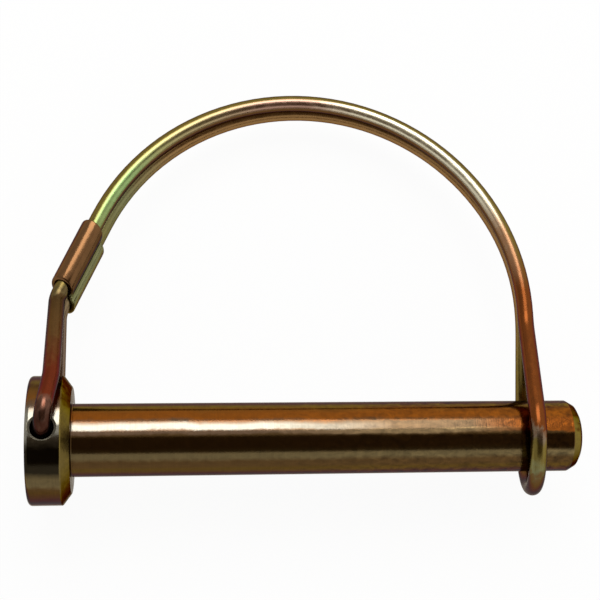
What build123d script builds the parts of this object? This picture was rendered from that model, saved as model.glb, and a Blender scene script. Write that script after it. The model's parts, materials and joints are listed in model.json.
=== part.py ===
from build123d import *
import os
from math import asin, atan2, cos, degrees, hypot, radians, sin, sqrt

# Wire lock pin: a headed steel pin with a sprung wire bail that snaps round its tip.
# Millimetres and degrees. The origin is the middle of the shoulder that meets the work, +X runs
# down the shank to the tip, and +Z is up as the pin lies on a table with its bail towards +Y.

# Headed pin. The tip has a long shallow chamfer and then a steep break at its end face.
SHANK_DIAMETER = 9.525
SHANK_LENGTH = 67.3
TIP_CHAMFER_LENGTH = 1.5
TIP_CHAMFER_DEPTH = 0.6
TIP_END_BREAK_LENGTH = 0.45
TIP_END_BREAK_DEPTH = 0.75
HEAD_DIAMETER = 16.8
HEAD_THICKNESS = 5.5
HEAD_EDGE_BREAK = 0.4
SHOULDER_SLOPE_LENGTH = 1.1
SHOULDER_SLOPE_DEPTH = 1.5
CROSS_HOLE_DIAMETER = 3.0
CROSS_HOLE_FROM_SHOULDER = 3.35
COUNTERSINK_DEPTH = 0.35

# Wire bail. Two strands of one wire run side by side. The upper strand is the one on top as the
# pin lies down, and the lower strand's arch is set a little across and down from it.
WIRE_DIAMETER = 2.2
STRAND_GAP = 0.1
HOOK_LENGTH_IN_HEAD = 5.0
HOOK_BEND_RADIUS = 2.1
HOOK_CORNER_OUT = 2.8
LEG_BOW_HEIGHT = 7.0
UPPER_LEG_BOW = 0.6
LOWER_LEG_BOW = 0.2
LEG_BOW_RADIUS = 10.0
LEG_BEND_RADIUS = 3.0
ARCH_RADIUS = 30.75
ARCH_CENTRE_FROM_SHOULDER = 30.85
ARCH_CENTRE_HEIGHT = 17.65
ARCH_END_ANGLE = 155.0
ARCH_TAIL_ANGLE = 25.0
LOWER_ARCH_ACROSS = 0.55
LOWER_ARCH_DOWN = 0.33
LOWER_ARCH_TIGHTER_BY = 0.07
LOOP_RADIUS = 6.9
LOOP_LEAN = 7.5
LOOP_SLANT = 1.8
LOOP_OPENING_ANGLE = 22.0
LOOP_NECK_RADIUS = 8.0

# Crimp sleeve. Its mouths are skewed, so its lower lobe sits nearer the head than its upper lobe.
SLEEVE_LENGTH = 9.2
SLEEVE_WALL = 0.55
SLEEVE_CLEARANCE = 0.04
SLEEVE_WAIST_ROUND = 0.6
SLEEVE_SKEW = -1.2
SLEEVE_FROM_ARCH = 2.6
LEG_BEND_FROM_SLEEVE = 1.5

# Worked out from the sizes above
shank_radius = SHANK_DIAMETER / 2
head_radius = HEAD_DIAMETER / 2
wire_radius = WIRE_DIAMETER / 2
strand_offset = (WIRE_DIAMETER + STRAND_GAP) / 2
lean_sine = sin(radians(LOOP_LEAN))
lean_cosine = cos(radians(LOOP_LEAN))

# The bail lies in a plane through the pin's axis: across runs along the shank, up is towards the
# top of the arch, and out is square to that plane. This plane is tilted by rest_tilt at the end,
# until the lower strand's arch comes down as far as the head's rim.
lower_arch_radius = ARCH_RADIUS - LOWER_ARCH_TIGHTER_BY
arch_reach = ARCH_CENTRE_HEIGHT - LOWER_ARCH_DOWN + lower_arch_radius
strand_depth = strand_offset * lean_cosine
rest_tilt = degrees(
    asin((head_radius - wire_radius) / hypot(arch_reach, strand_depth))
    - atan2(strand_depth, arch_reach)
)


def headed_pin():
    """The turned pin: collar head, sloped shoulder edge, plain shank and chamfered tip."""
    half_section = Polyline(
        (-HEAD_THICKNESS, 0),
        (-HEAD_THICKNESS, head_radius - HEAD_EDGE_BREAK),
        (-HEAD_THICKNESS + HEAD_EDGE_BREAK, head_radius),
        (-SHOULDER_SLOPE_LENGTH, head_radius),
        (0, head_radius - SHOULDER_SLOPE_DEPTH),
        (0, shank_radius),
        (SHANK_LENGTH - TIP_CHAMFER_LENGTH, shank_radius),
        (SHANK_LENGTH - TIP_END_BREAK_LENGTH, shank_radius - TIP_CHAMFER_DEPTH),
        (SHANK_LENGTH, shank_radius - TIP_CHAMFER_DEPTH - TIP_END_BREAK_DEPTH),
        (SHANK_LENGTH, 0),
        close=True,
    )
    pin = revolve(make_face(half_section), Axis.X)
    pin -= Pos(-CROSS_HOLE_FROM_SHOULDER, 0, 0) * Cylinder(CROSS_HOLE_DIAMETER / 2, 2 * HEAD_DIAMETER)
    for side in (1, -1):
        pin -= countersink(side)
    return pin


def countersink(side):
    """A 45 degree cone that breaks the edge of the cross hole on one side of the head."""
    mouth_radius = CROSS_HOLE_DIAMETER / 2
    depth = 2 * COUNTERSINK_DEPTH
    cone = Cone(mouth_radius, mouth_radius + depth, depth, align=(Align.CENTER, Align.CENTER, Align.MIN))
    if side < 0:
        cone = Rot(180, 0, 0) * cone
    return Pos(-CROSS_HOLE_FROM_SHOULDER, 0, side * (head_radius - COUNTERSINK_DEPTH)) * cone


def spoke(angle):
    """The direction from an arch's centre at an angle counted from the tip's end of the arch."""
    return Vector(cos(radians(angle)), sin(radians(angle)), 0)


def arch_centre_and_radius(side):
    """The arch of the upper strand (side 1) or the lower strand (side -1), in the bail's plane."""
    upper_centre = Vector(ARCH_CENTRE_FROM_SHOULDER, ARCH_CENTRE_HEIGHT, strand_depth)
    if side > 0:
        return upper_centre, ARCH_RADIUS
    return upper_centre + Vector(LOWER_ARCH_ACROSS, -LOWER_ARCH_DOWN, -2 * strand_depth), lower_arch_radius


def on_arch(side, angle):
    """A point on one strand's arch."""
    centre, radius = arch_centre_and_radius(side)
    return centre + spoke(angle) * radius


def down_the_sleeve():
    """The direction in which both strands leave the arch and run through the sleeve."""
    return Vector(-sin(radians(ARCH_END_ANGLE)), cos(radians(ARCH_END_ANGLE)), 0)


def in_loop(sideways, up):
    """A point in the loop's plane, which stands across the shank, leans a little and slants back."""
    place = Vector(-sideways * lean_sine, up, sideways * lean_cosine)
    return Vector(loop_from_shoulder(), 0, 0) + place.rotate(Axis.Z, -LOOP_SLANT)


def loop_from_shoulder():
    """Where the loop's middle is on the shank, straight below the end of the upper strand's arch."""
    foot = on_arch(1, -LOOP_SLANT)
    slant = radians(LOOP_SLANT)
    sideways = strand_offset * lean_sine
    up = (foot.Y - sideways * sin(slant)) / cos(slant)
    return foot.X + sideways * cos(slant) - up * sin(slant)


def arch_tail(side):
    """The last of the arch, a little tighter where needed, so that it comes down over the loop."""
    centre, radius = arch_centre_and_radius(side)
    tail_cosine = cos(radians(ARCH_TAIL_ANGLE + LOOP_SLANT))
    to_neck = (in_loop(side * strand_offset, 0) - centre).dot(spoke(-LOOP_SLANT))
    tail_radius = (to_neck - radius * tail_cosine) / (1 - tail_cosine)
    tail_centre = centre + spoke(ARCH_TAIL_ANGLE) * (radius - tail_radius)
    middle = tail_centre + spoke((ARCH_TAIL_ANGLE - LOOP_SLANT) / 2) * tail_radius
    end = tail_centre + spoke(-LOOP_SLANT) * tail_radius
    return ThreePointArc(on_arch(side, ARCH_TAIL_ANGLE), middle, end)


def corner_arc(before, corner, after, radius):
    """The arc that rounds a corner between two straight runs of wire."""
    back = (before - corner).normalized()
    ahead = (after - corner).normalized()
    half_angle = radians(back.get_angle(ahead)) / 2
    to_middle = (back + ahead).normalized()
    reach = radius * cos(half_angle) / sin(half_angle)
    nearest = radius / sin(half_angle) - radius
    return ThreePointArc(corner + back * reach, corner + to_middle * nearest, corner + ahead * reach)


def leg_and_arch(side):
    """One strand, from its cut end in the head to the end of its arch above the tip."""
    hole = Vector(-CROSS_HOLE_FROM_SHOULDER, 0, 0)
    outward = Vector(0, 0, side)
    arch_start = on_arch(side, ARCH_END_ANGLE)
    sleeve_end = SLEEVE_FROM_ARCH + SLEEVE_LENGTH + side * SLEEVE_SKEW / 2
    leg_top = arch_start + down_the_sleeve() * (sleeve_end + LEG_BEND_FROM_SLEEVE)
    hook_corner = hole + outward * (head_radius + HOOK_CORNER_OUT)
    cut_end = hole + outward * (head_radius - HOOK_LENGTH_IN_HEAD)
    leg = leg_top - hook_corner
    bow_across = UPPER_LEG_BOW if side > 0 else LOWER_LEG_BOW
    leg_bow = hook_corner + leg * (LEG_BOW_HEIGHT / leg.Y) + Vector(bow_across, 0, 0)
    hook = corner_arc(cut_end, hook_corner, leg_bow, HOOK_BEND_RADIUS)
    bow = corner_arc(hook_corner, leg_bow, leg_top, LEG_BOW_RADIUS)
    knee = corner_arc(leg_bow, leg_top, arch_start, LEG_BEND_RADIUS)
    arch_middle = (ARCH_END_ANGLE + ARCH_TAIL_ANGLE) / 2
    arch = ThreePointArc(arch_start, on_arch(side, arch_middle), on_arch(side, ARCH_TAIL_ANGLE))
    return [
        Line(cut_end, hook @ 0),
        hook,
        Line(hook @ 1, bow @ 0),
        bow,
        Line(bow @ 1, knee @ 0),
        knee,
        Line(knee @ 1, arch_start),
        arch,
        arch_tail(side),
    ]


def loop_neck(side):
    """One strand parting from the other and running down to the round of the loop."""
    opening = radians(LOOP_OPENING_ANGLE)
    widest = LOOP_RADIUS * cos(opening)
    slope_down = (widest - strand_offset - LOOP_NECK_RADIUS * (1 - cos(opening))) / sin(opening)
    low_up = LOOP_RADIUS * sin(opening)
    low = in_loop(side * widest, low_up)
    high_up = low_up + slope_down * cos(opening)
    high = in_loop(side * (widest - slope_down * sin(opening)), high_up)
    neck_end_up = high_up + LOOP_NECK_RADIUS * sin(opening)
    neck_end = in_loop(side * strand_offset, neck_end_up)
    half = opening / 2
    neck_middle = in_loop(
        side * (strand_offset + LOOP_NECK_RADIUS * (1 - cos(half))),
        neck_end_up - LOOP_NECK_RADIUS * sin(half),
    )
    tail_end = arch_tail(side) @ 1
    return [Line(tail_end, neck_end), ThreePointArc(neck_end, neck_middle, high), Line(high, low)]


def wire_bail():
    """One doubled wire: hooks in the head, legs, arch, and a closed loop round the shank."""
    upper = leg_and_arch(1) + loop_neck(1)
    lower = leg_and_arch(-1) + loop_neck(-1)
    loop_round = ThreePointArc(upper[-1] @ 1, in_loop(0, -LOOP_RADIUS), lower[-1] @ 1)
    path = Wire(upper + [loop_round] + lower)
    section = Plane(origin=upper[0] @ 0, z_dir=upper[0] % 0) * Circle(wire_radius)
    return sweep(section, path=path)


def two_lobes(half_apart, lobe_radius, waist_round):
    """Two round lobes side by side, the corners where they meet eased with a hollow curve."""
    waist_centre = sqrt((lobe_radius + waist_round) ** 2 - half_apart**2)
    lobe_share = lobe_radius / (lobe_radius + waist_round)
    touch_x = half_apart * (1 - lobe_share)
    touch_y = waist_centre * lobe_share
    waist = waist_centre - waist_round
    end = half_apart + lobe_radius
    outline = Wire(
        [
            ThreePointArc((touch_x, touch_y), (end, 0), (touch_x, -touch_y)),
            ThreePointArc((touch_x, -touch_y), (0, -waist), (-touch_x, -touch_y)),
            ThreePointArc((-touch_x, -touch_y), (-end, 0), (-touch_x, touch_y)),
            ThreePointArc((-touch_x, touch_y), (0, waist), (touch_x, touch_y)),
        ]
    )
    return make_face(outline)


def crimp_sleeve():
    """The ferrule: a short tube pressed in between the two strands, so it has two lobes."""
    along = down_the_sleeve()
    middle_run = SLEEVE_FROM_ARCH + SLEEVE_LENGTH / 2
    upper = on_arch(1, ARCH_END_ANGLE) + along * middle_run
    lower = on_arch(-1, ARCH_END_ANGLE) + along * middle_run
    apart = upper - lower
    apart -= along * apart.dot(along)
    half_apart = apart.length / 2
    hollow_radius = wire_radius + SLEEVE_CLEARANCE
    wall = two_lobes(half_apart, hollow_radius + SLEEVE_WALL, SLEEVE_WAIST_ROUND)
    wall -= two_lobes(half_apart, hollow_radius, SLEEVE_WAIST_ROUND + SLEEVE_WALL)
    tube = extrude(wall, SLEEVE_LENGTH, both=True)
    mouth_slope = Vector(-SLEEVE_SKEW / (2 * half_apart), 0, 1)
    for end in (1, -1):
        mouth = Plane(origin=(0, 0, end * SLEEVE_LENGTH / 2), z_dir=-end * mouth_slope)
        tube = split(tube, bisect_by=mouth)
    return Plane(origin=lower + apart / 2, x_dir=apart, z_dir=along) * tube


os.makedirs("parts", exist_ok=True)
laid_down = Rot(-rest_tilt, 0, 0)
nodes = {
    "headed_pin": headed_pin(),
    "wire_bail": wire_bail(),
    "crimp_sleeve": crimp_sleeve(),
}
for name, solid in nodes.items():
    export_step(laid_down * solid, f"parts/{name}.step")
print("bail's plane tilted by", round(rest_tilt, 3), "degrees")
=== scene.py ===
import json
from math import acos, atan2, ceil, cos, pi, radians, sin, sqrt, tan

import bpy
from mathutils import Matrix, Vector


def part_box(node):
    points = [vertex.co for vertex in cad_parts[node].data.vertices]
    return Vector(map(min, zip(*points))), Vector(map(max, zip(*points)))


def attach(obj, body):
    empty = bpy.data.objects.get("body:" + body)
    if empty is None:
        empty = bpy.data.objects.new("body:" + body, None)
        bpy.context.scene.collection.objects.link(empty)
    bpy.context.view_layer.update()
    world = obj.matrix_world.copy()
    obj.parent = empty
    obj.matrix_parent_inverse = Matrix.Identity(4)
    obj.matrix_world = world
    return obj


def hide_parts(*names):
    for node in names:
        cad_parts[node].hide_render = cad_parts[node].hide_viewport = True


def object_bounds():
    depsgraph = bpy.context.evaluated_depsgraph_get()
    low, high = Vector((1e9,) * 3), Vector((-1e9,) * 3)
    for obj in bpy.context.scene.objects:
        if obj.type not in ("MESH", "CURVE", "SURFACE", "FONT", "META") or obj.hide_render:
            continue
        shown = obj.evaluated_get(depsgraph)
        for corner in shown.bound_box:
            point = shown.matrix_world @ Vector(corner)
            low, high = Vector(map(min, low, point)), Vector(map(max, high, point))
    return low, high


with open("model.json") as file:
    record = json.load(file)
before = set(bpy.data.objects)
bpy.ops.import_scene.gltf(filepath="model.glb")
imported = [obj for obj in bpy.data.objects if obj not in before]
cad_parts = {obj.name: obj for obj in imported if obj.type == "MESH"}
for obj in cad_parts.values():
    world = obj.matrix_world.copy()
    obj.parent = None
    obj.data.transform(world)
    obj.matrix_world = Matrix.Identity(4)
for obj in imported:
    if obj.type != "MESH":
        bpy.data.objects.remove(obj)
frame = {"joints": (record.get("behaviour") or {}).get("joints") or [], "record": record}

cad_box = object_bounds()


# Headed pin. One piece of carbon steel, turned to a collar head, a plain shank and a chamfered
# tip, cross drilled through the head for the wire's ends, then zinc plated and dipped in yellow
# chromate, which leaves a thin film that drifts between olive, straw, brown and orange.

MM = 0.001
pin_low, pin_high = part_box("headed_pin")
shank_mount = next(m for m in frame["record"]["mounts"] if m["name"] == "shank")
head_radius = pin_high.z / MM
head_thickness = -pin_low.x / MM
shank_length = pin_high.x / MM
shank_radius = shank_mount["dims"]["r_mm"]

SHOULDER_SLOPE_LENGTH = 1.1
SHOULDER_SLOPE_DEPTH = 1.5
TIP_CHAMFER_LENGTH = 1.5
TIP_CHAMFER_DEPTH = 0.6
TIP_END_BREAK_LENGTH = 0.45
TIP_END_BREAK_DEPTH = 0.75
HEAD_EDGE_ROUND = 0.55
TURNED_EDGE_ROUND = 0.3
SHOULDER_CORNER_ROUND = 0.15
CROSS_HOLE_RADIUS = 1.5
COUNTERSINK_DEPTH = 0.35
DRILL_PAST_HEAD = 1
TURNED_SIDES = 160
HOLE_SIDES = 56
ARC_STEPS_PER_ROUND = 6
SMOOTH_UNDER = radians(32)


def rounded_outline(corners):
    """Points of an outline whose corners, given as (x, r, round), are eased with small arcs."""
    points = []
    for place, (x, r, ease) in enumerate(corners):
        corner = Vector((x, r))
        if ease == 0:
            points.append(corner)
            continue
        back = (Vector(corners[place - 1][:2]) - corner).normalized()
        ahead = (Vector(corners[place + 1][:2]) - corner).normalized()
        half = acos(max(-1.0, min(1.0, back.dot(ahead)))) / 2
        start = corner + back * (ease / tan(half))
        centre = corner + (back + ahead).normalized() * (ease / sin(half))
        from_centre = start - centre
        turn = (pi - 2 * half) * (-1 if back.cross(ahead) > 0 else 1)
        for step in range(ARC_STEPS_PER_ROUND + 1):
            turned = Matrix.Rotation(turn * step / ARC_STEPS_PER_ROUND, 2)
            points.append(centre + turned @ from_centre)
    return points


def turned_mesh(name, outline, sides):
    """A solid of revolution about X from an outline that starts and ends on the axis."""
    verts = [(p.x, p.y * cos(2 * pi * k / sides), p.y * sin(2 * pi * k / sides))
             for p in outline[1:-1] for k in range(sides)]
    last_ring = len(verts) - sides
    first_centre, last_centre = len(verts), len(verts) + 1
    verts += [(outline[0].x, 0, 0), (outline[-1].x, 0, 0)]
    faces = []
    for k in range(sides):
        following = (k + 1) % sides
        for ring in range(len(outline) - 3):
            a, b = ring * sides, (ring + 1) * sides
            faces.append((a + k, a + following, b + following, b + k))
        faces.append((first_centre, following, k))
        faces.append((last_centre, last_ring + k, last_ring + following))
    mesh = bpy.data.meshes.new(name)
    mesh.from_pydata([Vector(v) * MM for v in verts], [], faces)
    return mesh


def shown(mesh):
    """A new piece of the scene that carries this mesh, under the same name."""
    piece = bpy.data.objects.new(mesh.name, mesh)
    bpy.context.scene.collection.objects.link(piece)
    return piece


def apply_modifiers(piece):
    """Gives the piece the mesh that its modifiers make of it."""
    settled = piece.evaluated_get(bpy.context.evaluated_depsgraph_get())
    mesh = bpy.data.meshes.new_from_object(settled)
    piece.modifiers.clear()
    piece.data = mesh


def note_bench_places(mesh, places):
    """Keeps where each point was before it was bent or laid down, in mm, for the finish."""
    noted = mesh.attributes.new("bench_place", "FLOAT_VECTOR", "POINT")
    noted.data.foreach_set("vector", [value for place in places for value in place])


def crisp_smooth(piece):
    """Smooth shading that stays sharp at real edges and flat on flat faces."""
    piece.data.shade_smooth()
    piece.data.set_sharp_from_angle(angle=SMOOTH_UNDER)
    flats = piece.modifiers.new("flats", "WEIGHTED_NORMAL")
    flats.keep_sharp = True
    apply_modifiers(piece)


pin_outline = rounded_outline([
    (-head_thickness, 0, 0),
    (-head_thickness, head_radius, HEAD_EDGE_ROUND),
    (-SHOULDER_SLOPE_LENGTH, head_radius, TURNED_EDGE_ROUND),
    (0, head_radius - SHOULDER_SLOPE_DEPTH, TURNED_EDGE_ROUND),
    (0, shank_radius, SHOULDER_CORNER_ROUND),
    (shank_length - TIP_CHAMFER_LENGTH, shank_radius, TURNED_EDGE_ROUND),
    (shank_length - TIP_END_BREAK_LENGTH, shank_radius - TIP_CHAMFER_DEPTH, TURNED_EDGE_ROUND),
    (shank_length, shank_radius - TIP_CHAMFER_DEPTH - TIP_END_BREAK_DEPTH, TURNED_EDGE_ROUND),
    (shank_length, 0, 0),
])
pin = shown(turned_mesh("plated_pin", pin_outline, TURNED_SIDES))

bail_swing = frame["joints"][0]
hinge_x = bail_swing["pos_m"][0] / MM
past_head = head_radius + DRILL_PAST_HEAD
countersink_top = CROSS_HOLE_RADIUS + COUNTERSINK_DEPTH + past_head - head_radius
drill_outline = [
    Vector((-past_head, 0)),
    Vector((-past_head, countersink_top)),
    Vector((-head_radius + COUNTERSINK_DEPTH, CROSS_HOLE_RADIUS)),
    Vector((head_radius - COUNTERSINK_DEPTH, CROSS_HOLE_RADIUS)),
    Vector((past_head, countersink_top)),
    Vector((past_head, 0)),
]
hinge_axis = Vector(bail_swing["axis"])
rest_tilt = atan2(hinge_axis.y, hinge_axis.z)
laid_down = Matrix.Rotation(-rest_tilt, 4, "X")
drill = shown(turned_mesh("drill", drill_outline, HOLE_SIDES))
drill.data.transform(Matrix.Rotation(-pi / 2, 4, "Y"))
drill.data.transform(Matrix.Translation((hinge_x * MM, 0, 0)))
drill.data.transform(laid_down)
drilled = pin.modifiers.new("drilled", "BOOLEAN")
drilled.operation = "DIFFERENCE"
drilled.solver = "EXACT"
drilled.object = drill
apply_modifiers(pin)
bpy.data.objects.remove(drill)
crisp_smooth(pin)
note_bench_places(pin.data, [v.co / MM for v in pin.data.vertices])

OLIVE_FILM = (0.165, 0.118, 0.025)
# Round the shank and head, drab is a painted lighter reflection below the dark band; elsewhere it
# is the film's own colour.
DRAB_FILM = (0.120, 0.085, 0.035)
BROWN_FILM = (0.077, 0.039, 0.010)
BLACK_FILM = (0.016, 0.011, 0.004)
# Straw is painted on the stripe where the soft box reflects on the shank and head: a painted
# highlight.
STRAW_HIGHLIGHT_FILM = (0.220, 0.205, 0.165)
TAN_FILM = (0.128, 0.075, 0.042)
ORANGE_FILM = (0.215, 0.060, 0.003)
RUST_FILM = (0.160, 0.058, 0.007)
GRAZING_TINT = (0.24, 0.17, 0.06)
SKIN_INDEX = 1.38
SKIN_ROUGHNESS_SHARE = 0.8
PATCHES_PER_MM = (0.10, 0.22, 0.22)
MOTTLE_PER_MM = (0.9, 1.3, 1.3)
PITS_PER_MM = (5.0, 5.0, 5.0)
MOTTLE_SHARE_OF_DRIFT = 0.5
MARK_CONTRAST = 0.35
MOTTLE_CONTRAST = 0.5
RELIEF_HEIGHT = 0.02
RELIEF_STRENGTH = 0.6
NOISE_MIDDLE = 0.5
TOP_OF_TURN = 0.5


def worked_out(tree, operation, *values):
    """The answer of a maths node that works on numbers or on other nodes' outputs."""
    maths = tree.nodes.new("ShaderNodeMath")
    maths.operation = operation
    for socket, value in zip(maths.inputs, values):
        if isinstance(value, (int, float)):
            socket.default_value = value
        else:
            tree.links.new(value, socket)
    return maths.outputs[0]


def chromate_finish(name, film, reads, film_drift, marks, roughness, skin=0.2, zones=()):
    """Yellow chromate on zinc: a drifting film colour, tool marks, fine pits and a clear skin.

    film gives the film's colours by place, and reads says which place: a bench axis with its low
    and high ends, "around" the bench X axis with the top at a half, or "out" from it, as the
    rings of a faced end run. film_drift says how far the colours wander from their place, marks
    are the tool marks per millimetre along each bench axis, and skin is the weight of the clear
    skin. zones are films that take over along a bench axis, each as (axis, from, to, film, extra
    mottling).
    """
    material = bpy.data.materials.new(name)
    material.use_nodes = True
    tree = material.node_tree
    metal = tree.nodes["Principled BSDF"]
    metal.inputs["Metallic"].default_value = 1.0
    metal.inputs["Specular Tint"].default_value = (*GRAZING_TINT, 1)
    metal.inputs["Coat Weight"].default_value = skin
    metal.inputs["Coat Roughness"].default_value = roughness * SKIN_ROUGHNESS_SHARE
    metal.inputs["Coat IOR"].default_value = SKIN_INDEX
    place = tree.nodes.new("ShaderNodeAttribute")
    place.attribute_name = "bench_place"
    axes = tree.nodes.new("ShaderNodeSeparateXYZ")
    tree.links.new(place.outputs["Vector"], axes.inputs[0])

    def pattern(per_mm, detail, distortion=0.0, start=place.outputs["Vector"]):
        stretched = tree.nodes.new("ShaderNodeVectorMath")
        stretched.operation = "MULTIPLY"
        stretched.inputs[1].default_value = per_mm
        tree.links.new(start, stretched.inputs[0])
        noise = tree.nodes.new("ShaderNodeTexNoise")
        noise.inputs["Scale"].default_value = 1.0
        noise.inputs["Detail"].default_value = detail
        noise.inputs["Distortion"].default_value = distortion
        tree.links.new(stretched.outputs[0], noise.inputs["Vector"])
        return noise.outputs["Fac"]

    def share_along(axis, low, high):
        share = tree.nodes.new("ShaderNodeMapRange")
        share.inputs["From Min"].default_value = low
        share.inputs["From Max"].default_value = high
        tree.links.new(axes.outputs[axis], share.inputs["Value"])
        return share.outputs[0]

    def wander(noise, reach):
        from_middle = worked_out(tree, "SUBTRACT", noise, NOISE_MIDDLE)
        return worked_out(tree, "MULTIPLY", from_middle, reach)

    patches = pattern(PATCHES_PER_MM, detail=3.0, distortion=0.5)
    mottle = pattern(MOTTLE_PER_MM, detail=4.0, distortion=0.6)
    pits = pattern(PITS_PER_MM, detail=3.0)
    if reads == "out":
        sideways, up = axes.outputs["Y"], axes.outputs["Z"]
        squared = [worked_out(tree, "MULTIPLY", offset, offset) for offset in (sideways, up)]
        from_axis = worked_out(tree, "SQRT", worked_out(tree, "ADD", *squared))
        rings = tree.nodes.new("ShaderNodeCombineXYZ")
        tree.links.new(from_axis, rings.inputs["X"])
        tool_marks = pattern(marks, detail=2.0, start=rings.outputs[0])
    else:
        tool_marks = pattern(marks, detail=2.0)

    # Film colour
    if reads == "around":
        angle = worked_out(tree, "ARCTAN2", axes.outputs["Y"], axes.outputs["Z"])
        turned = worked_out(tree, "DIVIDE", angle, 2 * pi)
        film_place = worked_out(tree, "ADD", turned, TOP_OF_TURN)
    elif reads == "out":
        film_place = worked_out(tree, "DIVIDE", from_axis, head_radius)
    else:
        film_place = share_along(*reads)
    film_place = worked_out(tree, "ADD", film_place, wander(patches, film_drift))
    small_drift = film_drift * MOTTLE_SHARE_OF_DRIFT
    film_place = worked_out(tree, "ADD", film_place, wander(mottle, small_drift))

    def coloured(stops):
        ramp = tree.nodes.new("ShaderNodeValToRGB")
        while len(ramp.color_ramp.elements) < len(stops):
            ramp.color_ramp.elements.new(0.5)
        for element, (position, colour) in zip(ramp.color_ramp.elements, stops):
            element.position = position
            element.color = (*colour, 1)
        tree.links.new(film_place, ramp.inputs["Fac"])
        return ramp.outputs["Color"]

    colour = coloured(film)
    mottling = MOTTLE_CONTRAST
    for zone_axis, zone_from, zone_to, zone_film, extra_mottling in zones:
        reached = share_along(zone_axis, zone_from, zone_to)
        passed = tree.nodes.new("ShaderNodeMix")
        passed.data_type = "RGBA"
        tree.links.new(reached, passed.inputs["Factor"])
        tree.links.new(colour, passed.inputs["A"])
        tree.links.new(coloured(zone_film), passed.inputs["B"])
        colour = passed.outputs["Result"]
        added = worked_out(tree, "MULTIPLY", reached, extra_mottling)
        mottling = worked_out(tree, "ADD", mottling, added)
    marked = worked_out(tree, "ADD", 1.0, wander(tool_marks, MARK_CONTRAST))
    shade = worked_out(tree, "ADD", marked, wander(mottle, mottling))
    toned = tree.nodes.new("ShaderNodeMix")
    toned.data_type = "RGBA"
    toned.blend_type = "MULTIPLY"
    toned.inputs["Factor"].default_value = 1.0
    tree.links.new(colour, toned.inputs["A"])
    tree.links.new(shade, toned.inputs["B"])
    tree.links.new(toned.outputs["Result"], metal.inputs["Base Color"])

    # Roughness and relief
    uneven = worked_out(tree, "ADD", roughness, wander(mottle, roughness))
    relief = worked_out(tree, "DIVIDE", worked_out(tree, "ADD", tool_marks, pits), 2)
    tree.links.new(uneven, metal.inputs["Roughness"])
    bump = tree.nodes.new("ShaderNodeBump")
    bump.inputs["Distance"].default_value = RELIEF_HEIGHT * MM
    bump.inputs["Strength"].default_value = RELIEF_STRENGTH
    tree.links.new(relief, bump.inputs["Height"])
    tree.links.new(bump.outputs["Normal"], metal.inputs["Normal"])
    tree.links.new(bump.outputs["Normal"], metal.inputs["Coat Normal"])
    return material


# From the middle of the shank on, the highlight's stripe is painted dull brown with a sand rim.
# This is a painted dimmer highlight, and the film there is more mottled.
DIMMED_HIGHLIGHT_FILM = (0.092, 0.056, 0.027)
SAND_FILM = (0.230, 0.150, 0.070)
TIP_FILM = (0.220, 0.058, 0.005)
THIN_FILM = (0.400, 0.370, 0.280)
DIM_HIGHLIGHT_STRETCH = (24, 42)
TIP_STRETCH = (52, 60)
WORN_MOTTLING = 1.0
TURNING_MARKS = (9.0, 0.25, 0.25)
FINE_GRAIN = (3.0, 3.0, 3.0)


def bands_round_shank(rim, bright, flank):
    """Colours round the shank; rim, bright and flank, which change along it, paint its upper
    highlight.
    """
    return [
        (0.10, BROWN_FILM), (0.25, OLIVE_FILM), (0.36, BROWN_FILM), (0.385, BROWN_FILM),
        (0.405, DRAB_FILM), (0.425, DRAB_FILM), (0.45, BROWN_FILM), (0.503, BROWN_FILM),
        (0.512, rim), (0.524, rim), (0.532, bright), (0.55, bright), (0.565, flank),
        (0.585, ORANGE_FILM), (0.61, ORANGE_FILM), (0.635, RUST_FILM), (0.662, OLIVE_FILM),
        (0.72, OLIVE_FILM), (0.85, RUST_FILM), (0.95, BROWN_FILM),
    ]


# Round the shank: the film's own colours, with a painted highlight and a painted lighter band. At
# the tip the highlight's stripe takes the tip's orange.
clean_shank_bands = bands_round_shank(TAN_FILM, STRAW_HIGHLIGHT_FILM, TAN_FILM)
dim_highlight_shank_bands = bands_round_shank(SAND_FILM, DIMMED_HIGHLIGHT_FILM, DIMMED_HIGHLIGHT_FILM)
tip_shank_bands = bands_round_shank(TIP_FILM, TIP_FILM, TIP_FILM)
shank_finish = chromate_finish(
    "chromate_with_painted_bands_on_shank", clean_shank_bands,
    reads="around", film_drift=0.03, marks=TURNING_MARKS, roughness=0.13,
    zones=[
        ("X", *DIM_HIGHLIGHT_STRETCH, dim_highlight_shank_bands, WORN_MOTTLING),
        ("X", *TIP_STRETCH, tip_shank_bands, WORN_MOTTLING),
    ],
)
# Round the head, black widens the dark band as a painted dark reflection, straw is a painted
# highlight and drab a painted lighter band. The rest is the film's own colour.
head_bands = [
    (0.10, BROWN_FILM), (0.25, OLIVE_FILM), (0.33, BROWN_FILM), (0.355, BROWN_FILM),
    (0.37, DRAB_FILM), (0.39, DRAB_FILM), (0.41, BLACK_FILM), (0.47, BLACK_FILM),
    (0.50, STRAW_HIGHLIGHT_FILM), (0.555, STRAW_HIGHLIGHT_FILM), (0.575, TAN_FILM), (0.60, RUST_FILM),
    (0.64, BROWN_FILM), (0.665, OLIVE_FILM), (0.75, OLIVE_FILM), (0.85, RUST_FILM),
    (0.95, BROWN_FILM),
]
head_finish = chromate_finish(
    "chromate_with_painted_bands_on_head", head_bands,
    reads="around", film_drift=0.03, marks=TURNING_MARKS, roughness=0.13,
)
edge_film = [
    (0.10, OLIVE_FILM), (0.35, DRAB_FILM), (0.55, OLIVE_FILM), (0.60, BROWN_FILM),
    (0.70, OLIVE_FILM),
]
edge_finish = chromate_finish(
    "chromate_pooled_at_edges", edge_film,
    reads="around", film_drift=0.30, marks=FINE_GRAIN, roughness=0.22, skin=0.0,
)
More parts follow.
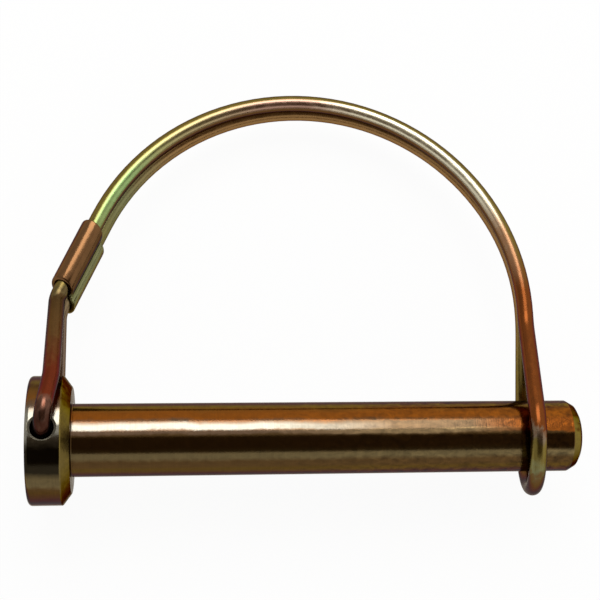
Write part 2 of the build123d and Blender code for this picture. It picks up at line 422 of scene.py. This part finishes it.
# The cross hole's walls are near black: painted shade inside the hole.
hole_shade_finish = chromate_finish(
    "drilled_hole_painted_shade", [(0.25, BLACK_FILM), (0.75, BLACK_FILM)],
    reads="around", film_drift=0.10, marks=FINE_GRAIN, roughness=0.40, skin=0.0,
)
mouth_finish = chromate_finish(
    "chromate_in_countersink", [(0.25, THIN_FILM), (0.75, THIN_FILM)],
    reads="around", film_drift=0.10, marks=FINE_GRAIN, roughness=0.60, skin=0.0,
)
end_film = [
    (0.05, RUST_FILM), (0.25, OLIVE_FILM), (0.45, DRAB_FILM), (0.60, TAN_FILM),
    (0.80, OLIVE_FILM), (0.95, BROWN_FILM),
]
end_finish = chromate_finish(
    "chromate_on_faced_end", end_film,
    reads="out", film_drift=0.5, marks=FINE_GRAIN, roughness=0.20,
)
for finish in (shank_finish, head_finish, edge_finish, hole_shade_finish, mouth_finish, end_finish):
    pin.data.materials.append(finish)
ON_SHANK, ON_HEAD, AT_EDGES, IN_HOLE, AT_MOUTHS, ON_ENDS = range(6)
EDGE_STRIP = 0.1
FACE_SLACK = 0.03
across_hole = laid_down.to_3x3() @ Vector((0, 1, 0))
for face in pin.data.polygons:
    centre = face.center / MM
    from_axis = Vector((centre.y, centre.z)).length
    from_hole = Vector((centre.x - hinge_x, centre.dot(across_hole))).length
    below_surface = from_axis < head_radius - FACE_SLACK
    if below_surface and from_hole < CROSS_HOLE_RADIUS + FACE_SLACK:
        face.material_index = IN_HOLE
    elif below_surface and from_hole < CROSS_HOLE_RADIUS + COUNTERSINK_DEPTH:
        face.material_index = AT_MOUTHS
    elif centre.x < -head_thickness + EDGE_STRIP / 2 or centre.x > shank_length - EDGE_STRIP / 2:
        face.material_index = ON_ENDS
    elif centre.x > shank_length - TIP_CHAMFER_LENGTH + EDGE_STRIP:
        face.material_index = AT_EDGES
    elif centre.x > -SHOULDER_SLOPE_LENGTH - EDGE_STRIP and from_axis > shank_radius + EDGE_STRIP:
        face.material_index = AT_EDGES
    elif centre.x < -SHOULDER_SLOPE_LENGTH:
        face.material_index = ON_HEAD
    else:
        face.material_index = ON_SHANK
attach(pin, "pin")
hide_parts("headed_pin")


# Wire bail. One length of 2.2 mm hard drawn spring wire, doubled: the cut ends hook into the
# head's cross hole from both sides, the two strands run side by side round the arch, part above
# the tip and join in a closed loop round the shank. Bent cold, then plated as the pin is.

WIRE_RADIUS = 1.1
STRAND_OFFSET = 1.15
HOOK_LENGTH_IN_HEAD = 5.0
HOOK_BEND_RADIUS = 2.1
HOOK_CORNER_OUT = 2.8
LEG_BOW_HEIGHT = 7.0
UPPER_LEG_BOW = 0.6
LOWER_LEG_BOW = 0.2
LEG_BOW_RADIUS = 10.0
LEG_BEND_RADIUS = 3.0
ARCH_RADIUS = 30.75
ARCH_CENTRE_FROM_SHOULDER = 30.85
ARCH_CENTRE_HEIGHT = 17.65
ARCH_END_ANGLE = radians(155)
ARCH_TAIL_ANGLE = radians(25)
LOWER_ARCH_ACROSS = 0.55
LOWER_ARCH_DOWN = 0.33
LOWER_ARCH_TIGHTER_BY = 0.07
LOOP_RADIUS = 6.9
LOOP_LEAN = radians(7.5)
LOOP_SLANT = radians(1.8)
LOOP_OPENING_ANGLE = radians(22)
LOOP_NECK_RADIUS = 8.0
SLEEVE_LENGTH = 9.2
SLEEVE_SKEW = -1.2
SLEEVE_FROM_ARCH = 2.6
LEG_BEND_FROM_SLEEVE = 1.5
CUT_END_CHAMFER = 0.15
WIRE_SIDES = 40
BEND_STEP = radians(3)
SAME_PLACE_WITHIN = 1e-4

strand_depth = STRAND_OFFSET * cos(LOOP_LEAN)


def spoke(angle):
    """The direction from an arch's centre at an angle counted from the tip's end of the arch."""
    return Vector((cos(angle), sin(angle), 0))


def arch_centre_and_radius(side):
    """The arch of the upper strand (side 1) or the lower strand (side -1), in the bail's plane."""
    upper_centre = Vector((ARCH_CENTRE_FROM_SHOULDER, ARCH_CENTRE_HEIGHT, strand_depth))
    if side > 0:
        return upper_centre, ARCH_RADIUS
    lower_centre = upper_centre + Vector((LOWER_ARCH_ACROSS, -LOWER_ARCH_DOWN, -2 * strand_depth))
    return lower_centre, ARCH_RADIUS - LOWER_ARCH_TIGHTER_BY


def on_arch(side, angle):
    """A point on one strand's arch."""
    centre, radius = arch_centre_and_radius(side)
    return centre + spoke(angle) * radius


arch_foot = on_arch(1, -LOOP_SLANT)
foot_sideways = STRAND_OFFSET * sin(LOOP_LEAN)
foot_up = (arch_foot.y - foot_sideways * sin(LOOP_SLANT)) / cos(LOOP_SLANT)
foot_back = foot_up * sin(LOOP_SLANT)
loop_middle = Vector((arch_foot.x + foot_sideways * cos(LOOP_SLANT) - foot_back, 0, 0))


def in_loop(sideways, up):
    """A point in the loop's plane, which crosses the shank, leans a little and slants back."""
    place = Vector((-sideways * sin(LOOP_LEAN), up, sideways * cos(LOOP_LEAN)))
    return loop_middle + Matrix.Rotation(-LOOP_SLANT, 3, "Z") @ place


def arch_tail(side):
    """The last of the arch, a little tighter where needed, so that it comes down over the loop."""
    centre, radius = arch_centre_and_radius(side)
    tail_cosine = cos(ARCH_TAIL_ANGLE + LOOP_SLANT)
    to_neck = (in_loop(side * STRAND_OFFSET, 0) - centre).dot(spoke(-LOOP_SLANT))
    tail_radius = (to_neck - radius * tail_cosine) / (1 - tail_cosine)
    tail_centre = centre + spoke(ARCH_TAIL_ANGLE) * (radius - tail_radius)
    middle = tail_centre + spoke((ARCH_TAIL_ANGLE - LOOP_SLANT) / 2) * tail_radius
    end = tail_centre + spoke(-LOOP_SLANT) * tail_radius
    return bend_through(on_arch(side, ARCH_TAIL_ANGLE), middle, end)


def straight_run(start, end):
    """A straight run of wire, as (place, direction) pairs."""
    direction = (end - start).normalized()
    return [(start, direction), (end, direction)]


def bend_through(start, middle, end):
    """A round bend of wire through three places, as (place, direction) pairs."""
    to_middle, to_end = middle - start, end - start
    square = to_middle.cross(to_end)
    end_pull = to_end.length_squared * square.cross(to_middle)
    middle_pull = to_middle.length_squared * to_end.cross(square)
    centre = start + (end_pull + middle_pull) / (2 * square.length_squared)
    outward = start - centre
    across = square.normalized().cross(outward)
    turn = atan2((end - centre).dot(across), (end - centre).dot(outward)) % (2 * pi)
    steps = ceil(turn / BEND_STEP)
    bend = []
    for step in range(steps + 1):
        angle = turn * step / steps
        place = centre + outward * cos(angle) + across * sin(angle)
        bend.append((place, (across * cos(angle) - outward * sin(angle)).normalized()))
    return bend


def corner_bend(before, corner, after, radius):
    """The round bend that eases a corner between two straight runs of wire."""
    back = (before - corner).normalized()
    ahead = (after - corner).normalized()
    half = back.angle(ahead) / 2
    nearest = corner + (back + ahead).normalized() * (radius / sin(half) - radius)
    reach = radius / tan(half)
    return bend_through(corner + back * reach, nearest, corner + ahead * reach)


sleeve_direction = Vector((-sin(ARCH_END_ANGLE), cos(ARCH_END_ANGLE), 0))


def leg_and_arch(side):
    """One strand, from its cut end in the head to the end of its arch above the tip."""
    hole = Vector((hinge_x, 0, 0))
    outward = Vector((0, 0, side))
    arch_start = on_arch(side, ARCH_END_ANGLE)
    sleeve_end = SLEEVE_FROM_ARCH + SLEEVE_LENGTH + side * SLEEVE_SKEW / 2
    leg_top = arch_start + sleeve_direction * (sleeve_end + LEG_BEND_FROM_SLEEVE)
    hook_corner = hole + outward * (head_radius + HOOK_CORNER_OUT)
    cut_end = hole + outward * (head_radius - HOOK_LENGTH_IN_HEAD)
    leg = leg_top - hook_corner
    bow_across = UPPER_LEG_BOW if side > 0 else LOWER_LEG_BOW
    leg_bow = hook_corner + leg * (LEG_BOW_HEIGHT / leg.y) + Vector((bow_across, 0, 0))
    hook = corner_bend(cut_end, hook_corner, leg_bow, HOOK_BEND_RADIUS)
    bow = corner_bend(hook_corner, leg_bow, leg_top, LEG_BOW_RADIUS)
    knee = corner_bend(leg_bow, leg_top, arch_start, LEG_BEND_RADIUS)
    arch_middle = on_arch(side, (ARCH_END_ANGLE + ARCH_TAIL_ANGLE) / 2)
    arch = bend_through(arch_start, arch_middle, on_arch(side, ARCH_TAIL_ANGLE))
    return straight_run(cut_end, hook[0][0]) + hook + bow + knee + arch + arch_tail(side)


def loop_neck(side):
    """One strand parting from the other and running down to the round of the loop."""
    opening = LOOP_OPENING_ANGLE
    widest = LOOP_RADIUS * cos(opening)
    slope_down = (widest - STRAND_OFFSET - LOOP_NECK_RADIUS * (1 - cos(opening))) / sin(opening)
    low_up = LOOP_RADIUS * sin(opening)
    high_up = low_up + slope_down * cos(opening)
    neck_top_up = high_up + LOOP_NECK_RADIUS * sin(opening)
    low = in_loop(side * widest, low_up)
    high = in_loop(side * (widest - slope_down * sin(opening)), high_up)
    neck_top = in_loop(side * STRAND_OFFSET, neck_top_up)
    neck_middle = in_loop(
        side * (STRAND_OFFSET + LOOP_NECK_RADIUS * (1 - cos(opening / 2))),
        neck_top_up - LOOP_NECK_RADIUS * sin(opening / 2),
    )
    return bend_through(neck_top, neck_middle, high) + straight_run(high, low)


def backwards(route):
    """The same route followed from its other end."""
    return [(place, -direction) for place, direction in reversed(route)]


def drawn_wire_mesh(name, route, radius, sides):
    """A round wire along a route, with its two cut ends chamfered and closed, and its length."""
    kept = [route[0]]
    for place, direction in route[1:]:
        if (place - kept[-1][0]).length > SAME_PLACE_WITHIN:
            kept.append((place, direction))
    (first_end, first_way), (second_end, second_way) = kept[0], kept[-1]
    rings = [(first_end, first_way, radius - CUT_END_CHAMFER)]
    rings.append((first_end + first_way * CUT_END_CHAMFER, first_way, radius))
    rings += [(place, direction, radius) for place, direction in kept[1:-1]]
    rings.append((second_end - second_way * CUT_END_CHAMFER, second_way, radius))
    rings.append((second_end, second_way, radius - CUT_END_CHAMFER))
    verts, places = [], []
    side_way = first_way.orthogonal().normalized()
    run, last_place, last_direction = 0.0, first_end, first_way
    for place, direction, ring_radius in rings:
        side_way = last_direction.rotation_difference(direction) @ side_way
        side_way = (side_way - direction * side_way.dot(direction)).normalized()
        over = direction.cross(side_way)
        run += (place - last_place).length
        last_place, last_direction = place, direction
        for k in range(sides):
            angle = 2 * pi * k / sides
            verts.append(place + (side_way * cos(angle) + over * sin(angle)) * ring_radius)
            places.append((run, ring_radius * cos(angle), ring_radius * sin(angle)))
    faces = [tuple(reversed(range(sides)))]
    for ring in range(len(rings) - 1):
        for k in range(sides):
            following = (k + 1) % sides
            a, b = ring * sides, (ring + 1) * sides
            faces.append((a + k, a + following, b + following, b + k))
    faces.append(tuple(range(len(verts) - sides, len(verts))))
    mesh = bpy.data.meshes.new(name)
    mesh.from_pydata([laid_down @ v * MM for v in verts], [], faces)
    note_bench_places(mesh, places)
    return mesh, run


upper_strand = leg_and_arch(1) + loop_neck(1)
lower_strand = leg_and_arch(-1) + loop_neck(-1)
loop_round = bend_through(upper_strand[-1][0], in_loop(0, -LOOP_RADIUS), lower_strand[-1][0])
bail_route = upper_strand + loop_round + backwards(lower_strand)
bail_mesh, bail_length = drawn_wire_mesh("spring_wire_bail", bail_route, WIRE_RADIUS, WIRE_SIDES)
bail = shown(bail_mesh)
crisp_smooth(bail)

RED_FILM = (0.128, 0.020, 0.004)
UMBER_FILM = (0.110, 0.052, 0.014)
# Oxblood darkens both cut ends in the head and the lower bend of each hook: painted shade and a
# painted dark reflection.
HOOK_SHADE_FILM = (0.045, 0.012, 0.005)
# Buff is a pale spot on the upper hook's bend: a painted glint.
HOOK_GLINT_FILM = (0.180, 0.115, 0.080)
TAUPE_FILM = (0.200, 0.140, 0.100)
SAGE_FILM = (0.170, 0.170, 0.075)
GREEN_FILM = (0.240, 0.350, 0.130)
YELLOW_FILM = (0.330, 0.290, 0.120)
ROSE_FILM = (0.360, 0.215, 0.155)
# Cream is brightened where the soft box's highlight lies along the arch. It is partly the film's
# own pale colour and partly a painted highlight.
CREAM_HIGHLIGHT_FILM = (0.800, 0.730, 0.540)
CORAL_FILM = (0.360, 0.190, 0.095)
GOLD_FILM = (0.250, 0.135, 0.048)
MAROON_FILM = (0.148, 0.038, 0.005)
ARCH_FILM_FROM, ARCH_FILM_TO = 0.20, 0.79
# On the upper strand's arch the inner side is painted umber, as painted shade, and the outer rim is
# painted olive, as a painted edge reflection.
ARCH_INNER_SHADE_SIDE = (0.05, 0.35)
ARCH_OUTER_RIM_SHEEN = (-0.82, -1.0)
DRAWING_MARKS = (0.12, 5.0, 5.0)
upper_strand_film_and_painted_light = [
    (0.046, HOOK_SHADE_FILM), (0.051, HOOK_GLINT_FILM), (0.058, RED_FILM), (0.10, RED_FILM),
    (0.13, UMBER_FILM), (0.172, BROWN_FILM), (0.184, DRAB_FILM), (0.20, OLIVE_FILM),
    (0.285, GREEN_FILM), (0.31, GREEN_FILM), (0.364, YELLOW_FILM), (0.45, ROSE_FILM),
    (0.50, ROSE_FILM), (0.56, CREAM_HIGHLIGHT_FILM), (0.68, CREAM_HIGHLIGHT_FILM), (0.74, CORAL_FILM),
    # Taupe where the loop begins is a painted glint. On the lower strand's leg, taupe is the wire's
    # own colour.
    (0.79, MAROON_FILM), (0.938, MAROON_FILM), (0.944, TAUPE_FILM), (0.952, OLIVE_FILM),
    (0.964, OLIVE_FILM), (0.975, SAGE_FILM), (0.986, UMBER_FILM),
]
lower_strand_film_and_hook_shade = [
    (0.046, HOOK_SHADE_FILM), (0.058, TAUPE_FILM), (0.16, TAUPE_FILM), (0.20, OLIVE_FILM),
    (0.29, SAGE_FILM), (0.36, GOLD_FILM), (0.78, GOLD_FILM), (0.85, OLIVE_FILM),
    (0.93, UMBER_FILM),
]


def along_bail(on_arch_instead=None):
    """The wire's colours with painted glints and shade, and another on the upper strand's arch if
    given.

    Each strand is half of the wire, and its film goes by the share of it from its cut end.
    """
    film = []
    for place, colour in upper_strand_film_and_painted_light:
        if on_arch_instead and ARCH_FILM_FROM < place < ARCH_FILM_TO:
            colour = on_arch_instead
        film.append((place / 2, colour))
    return film + [(1 - place / 2, colour) for place, colour in reversed(lower_strand_film_and_hook_shade)]


bail.data.materials.append(chromate_finish(
    "chromate_with_painted_light_on_spring_wire", along_bail(),
    reads=("X", 0, bail_length), film_drift=0.03, marks=DRAWING_MARKS, roughness=0.27,
    zones=[
        # Painted shade on the arch's inner side and a painted edge reflection on its outer rim.
        ("Y", *ARCH_INNER_SHADE_SIDE, along_bail(UMBER_FILM), 0.0),
        ("Y", *ARCH_OUTER_RIM_SHEEN, along_bail(OLIVE_FILM), 0.0),
    ],
))
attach(bail, "bail")
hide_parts("wire_bail")


# Crimp sleeve. A short ferrule of thin steel tube slipped over both strands and pressed in
# between them, so that it grips and reads as two lobes. Its cut mouths are rolled over by the
# press, and it was plated with the bail.

SLEEVE_WALL = 0.55
SLEEVE_CLEARANCE = 0.04
SLEEVE_WAIST_ROUND = 0.6
SLEEVE_LIP_ROUND = 0.22
LOBE_STEPS = 40
WAIST_STEPS = 8
LIP_STEPS = 5
SLEEVE_BODY_STEPS = 6

sleeve_outer_radius = WIRE_RADIUS + SLEEVE_CLEARANCE + SLEEVE_WALL


def two_lobes(half_apart, inset):
    """The sleeve's section, moved in by inset: round lobes joined by a pressed-in waist."""
    lobe = sleeve_outer_radius - inset
    waist_round = SLEEVE_WAIST_ROUND + inset
    waist_centre = sqrt((lobe + waist_round) ** 2 - half_apart**2)
    meet = atan2(waist_centre, -half_apart)
    swing = 2 * atan2(half_apart, waist_centre)
    points = []
    for side in (1, -1):
        for step in range(LOBE_STEPS + 1):
            angle = -meet + 2 * meet * step / LOBE_STEPS
            points.append(side * Vector((half_apart + lobe * cos(angle), lobe * sin(angle))))
        for step in range(1, WAIST_STEPS):
            angle = -pi / 2 + swing / 2 - swing * step / WAIST_STEPS
            waist_rise = waist_centre + waist_round * sin(angle)
            points.append(side * Vector((waist_round * cos(angle), waist_rise)))
    return points


def mouth_stations():
    """(distance in from the mouth, inset) pairs, from the outside over the lip to the inside."""
    lip = []
    for step in range(LIP_STEPS + 1):
        turn = pi / 2 * step / LIP_STEPS
        lip.append((SLEEVE_LIP_ROUND * (1 - sin(turn)), SLEEVE_LIP_ROUND * (1 - cos(turn))))
    return lip + [(along, SLEEVE_WALL - inset) for along, inset in reversed(lip)]


middle_run = SLEEVE_FROM_ARCH + SLEEVE_LENGTH / 2
upper_middle = on_arch(1, ARCH_END_ANGLE) + sleeve_direction * middle_run
lower_middle = on_arch(-1, ARCH_END_ANGLE) + sleeve_direction * middle_run
apart = upper_middle - lower_middle
apart -= sleeve_direction * apart.dot(sleeve_direction)
sleeve_centre = lower_middle + apart / 2
half_apart = apart.length / 2
apart.normalize()
sleeve_over = sleeve_direction.cross(apart)
mouth_slope = SLEEVE_SKEW / (2 * half_apart)

body_run = SLEEVE_LENGTH / 2 - SLEEVE_LIP_ROUND
body_places = [
    body_run * (2 * step / SLEEVE_BODY_STEPS - 1) for step in range(1, SLEEVE_BODY_STEPS)
]
near_mouth = [(along - SLEEVE_LENGTH / 2, inset) for along, inset in mouth_stations()]
far_mouth = [(-along, inset) for along, inset in reversed(near_mouth)]
stations = near_mouth + far_mouth + [(-along, 0) for along in body_places]

verts, places = [], []
for along, inset in stations:
    for point in two_lobes(half_apart, inset):
        on_axis = sleeve_centre + sleeve_direction * (along + mouth_slope * point.x)
        verts.append(on_axis + apart * point.x + sleeve_over * point.y)
        places.append((along, point.x, point.y))
round_section = len(verts) // len(stations)
faces = []
for ring in range(len(stations)):
    for k in range(round_section):
        following = (k + 1) % round_section
        a, b = ring * round_section, (ring + 1) % len(stations) * round_section
        faces.append((a + k, b + k, b + following, a + following))
sleeve_mesh = bpy.data.meshes.new("crimped_sleeve")
sleeve_mesh.from_pydata([laid_down @ v * MM for v in verts], [], faces)
note_bench_places(sleeve_mesh, places)
sleeve = shown(sleeve_mesh)
crisp_smooth(sleeve)

COPPER_FILM = (0.140, 0.065, 0.024)
TUBE_MARKS = (0.4, 3.0, 3.0)
sleeve_film = [
    (0.25, OLIVE_FILM), (0.38, SAGE_FILM), (0.58, SAGE_FILM), (0.65, BROWN_FILM),
    (0.95, COPPER_FILM),
]
sleeve.data.materials.append(chromate_finish(
    "chromate_on_pressed_sleeve", sleeve_film,
    reads=("Y", -half_apart - sleeve_outer_radius, half_apart + sleeve_outer_radius),
    film_drift=0.10, marks=TUBE_MARKS, roughness=0.19,
))
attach(sleeve, "bail")
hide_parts("crimp_sleeve")


# Table. A plain white sheet that the pin lies on, wide enough to pass for a seamless backdrop.
# It looks plain white to the camera and in the metal, and is matt paper to the lamp's light.

TABLE_SIZE = 3.0
PAPER_COLOUR = (0.88, 0.88, 0.87)
BACKGROUND_SHARE = 0.94

table_mesh = bpy.data.meshes.new("white_table")
table_z = cad_box[0].z
half = TABLE_SIZE / 2
table_corners = [
    (-half, -half, table_z), (half, -half, table_z), (half, half, table_z), (-half, half, table_z),
]
table_mesh.from_pydata(table_corners, [], [(0, 1, 2, 3)])
table = shown(table_mesh)

paper = bpy.data.materials.new("white_paper")
paper.use_nodes = True
paper_tree = paper.node_tree
paper_tree.nodes.clear()
matt = paper_tree.nodes.new("ShaderNodeBsdfDiffuse")
matt.inputs["Color"].default_value = (*PAPER_COLOUR, 1)
plain_white = paper_tree.nodes.new("ShaderNodeEmission")
plain_white.inputs["Color"].default_value = (1, 1, 1, 1)
ray = paper_tree.nodes.new("ShaderNodeLightPath").outputs
seen = worked_out(paper_tree, "MAXIMUM", ray["Is Camera Ray"], ray["Is Glossy Ray"])
seen = worked_out(paper_tree, "MAXIMUM", seen, ray["Is Transmission Ray"])
white_share = worked_out(paper_tree, "MULTIPLY", seen, BACKGROUND_SHARE)
blend = paper_tree.nodes.new("ShaderNodeMixShader")
paper_tree.links.new(white_share, blend.inputs[0])
paper_tree.links.new(matt.outputs[0], blend.inputs[1])
paper_tree.links.new(plain_white.outputs[0], blend.inputs[2])
paper_out = paper_tree.nodes.new("ShaderNodeOutputMaterial")
paper_tree.links.new(blend.outputs[0], paper_out.inputs["Surface"])
table.data.materials.append(paper)


# Light. One soft box beyond the arch gives the long bright band on the shank, in a pale room
# with a dark card over the camera and the near side, which gives the dark band beside it.

SOFT_BOX_DISTANCE = 0.5
SOFT_BOX_FROM_VERTICAL = radians(39)
SOFT_BOX_SIZE = (0.34, 0.275)
SOFT_BOX_WATTS = 1.3
LIT_PLACE = Vector((0.01, 0, 0))
CARD_FROM_VERTICAL = radians(-21)
CARD_HALF_WIDTH = radians(27)
CARD_HALF_LENGTH = radians(42)
CARD_SOFT_EDGE = radians(4)
BRIGHTER_TO_THE_RIGHT = 0.3
ROOM_PALE = (0.92, 0.92, 0.90)
CARD_DARK = (0.13, 0.10, 0.07)

soft_box_data = bpy.data.lights.new("soft_box", "AREA")
soft_box_data.shape = "RECTANGLE"
soft_box_data.size, soft_box_data.size_y = SOFT_BOX_SIZE
soft_box_data.energy = SOFT_BOX_WATTS
soft_box = bpy.data.objects.new("soft_box", soft_box_data)
bpy.context.scene.collection.objects.link(soft_box)
toward_box = Vector((0, sin(SOFT_BOX_FROM_VERTICAL), cos(SOFT_BOX_FROM_VERTICAL)))
soft_box.location = LIT_PLACE + toward_box * SOFT_BOX_DISTANCE
soft_box.rotation_euler = (-SOFT_BOX_FROM_VERTICAL, 0, 0)

room = bpy.data.worlds.new("pale_room")
bpy.context.scene.world = room
room.use_nodes = True
room_tree = room.node_tree
background = room_tree.nodes["Background"]
look = room_tree.nodes.new("ShaderNodeTexCoord")
look_axes = room_tree.nodes.new("ShaderNodeSeparateXYZ")
room_tree.links.new(look.outputs["Generated"], look_axes.inputs[0])


def inside_card(axis, middle, half_width):
    """How far a direction lies within the card's width, from the vertical towards an axis."""
    angle = worked_out(room_tree, "ARCTAN2", look_axes.outputs[axis], look_axes.outputs["Z"])
    off_middle = worked_out(room_tree, "ABSOLUTE", worked_out(room_tree, "SUBTRACT", angle, middle))
    edge = room_tree.nodes.new("ShaderNodeMapRange")
    edge.interpolation_type = "SMOOTHSTEP"
    edge.inputs["From Min"].default_value = half_width + CARD_SOFT_EDGE
    edge.inputs["From Max"].default_value = half_width - CARD_SOFT_EDGE
    room_tree.links.new(off_middle, edge.inputs["Value"])
    return edge.outputs["Result"]


across_card = inside_card("Y", CARD_FROM_VERTICAL, CARD_HALF_WIDTH)
along_card = inside_card("X", 0, CARD_HALF_LENGTH)
card = worked_out(room_tree, "MULTIPLY", across_card, along_card)
room_colour = room_tree.nodes.new("ShaderNodeMix")
room_colour.data_type = "RGBA"
room_colour.inputs["A"].default_value = (*ROOM_PALE, 1)
room_colour.inputs["B"].default_value = (*CARD_DARK, 1)
room_tree.links.new(card, room_colour.inputs["Factor"])
room_tree.links.new(room_colour.outputs["Result"], background.inputs["Color"])
toward_right = look_axes.outputs["X"]
brightness = worked_out(room_tree, "MULTIPLY_ADD", toward_right, BRIGHTER_TO_THE_RIGHT, 1.0)
room_tree.links.new(brightness, background.inputs["Strength"])


# Camera. It looks almost straight down, leaning a little from the near side and from the head's
# end, at the place and with the lens that the shank's taper and the arch's outline give.

CAMERA_PLACE = Vector((10.6, -12.6, 172.0)) * MM
CAMERA_TURN = (radians(10.29), radians(-6.37), radians(0.12))
CAMERA_LENS = 78.0
CAMERA_SENSOR_WIDTH = 36.0
CAMERA_SEES_FROM = 0.01

camera_data = bpy.data.cameras.new("camera")
camera_data.lens = CAMERA_LENS
camera_data.sensor_width = CAMERA_SENSOR_WIDTH
camera_data.clip_start = CAMERA_SEES_FROM
camera = bpy.data.objects.new("camera", camera_data)
bpy.context.scene.collection.objects.link(camera)
camera.location = CAMERA_PLACE
camera.rotation_mode = "ZYX"
camera.rotation_euler = CAMERA_TURN
bpy.context.scene.camera = camera
bpy.context.scene.view_settings.view_transform = "Standard"
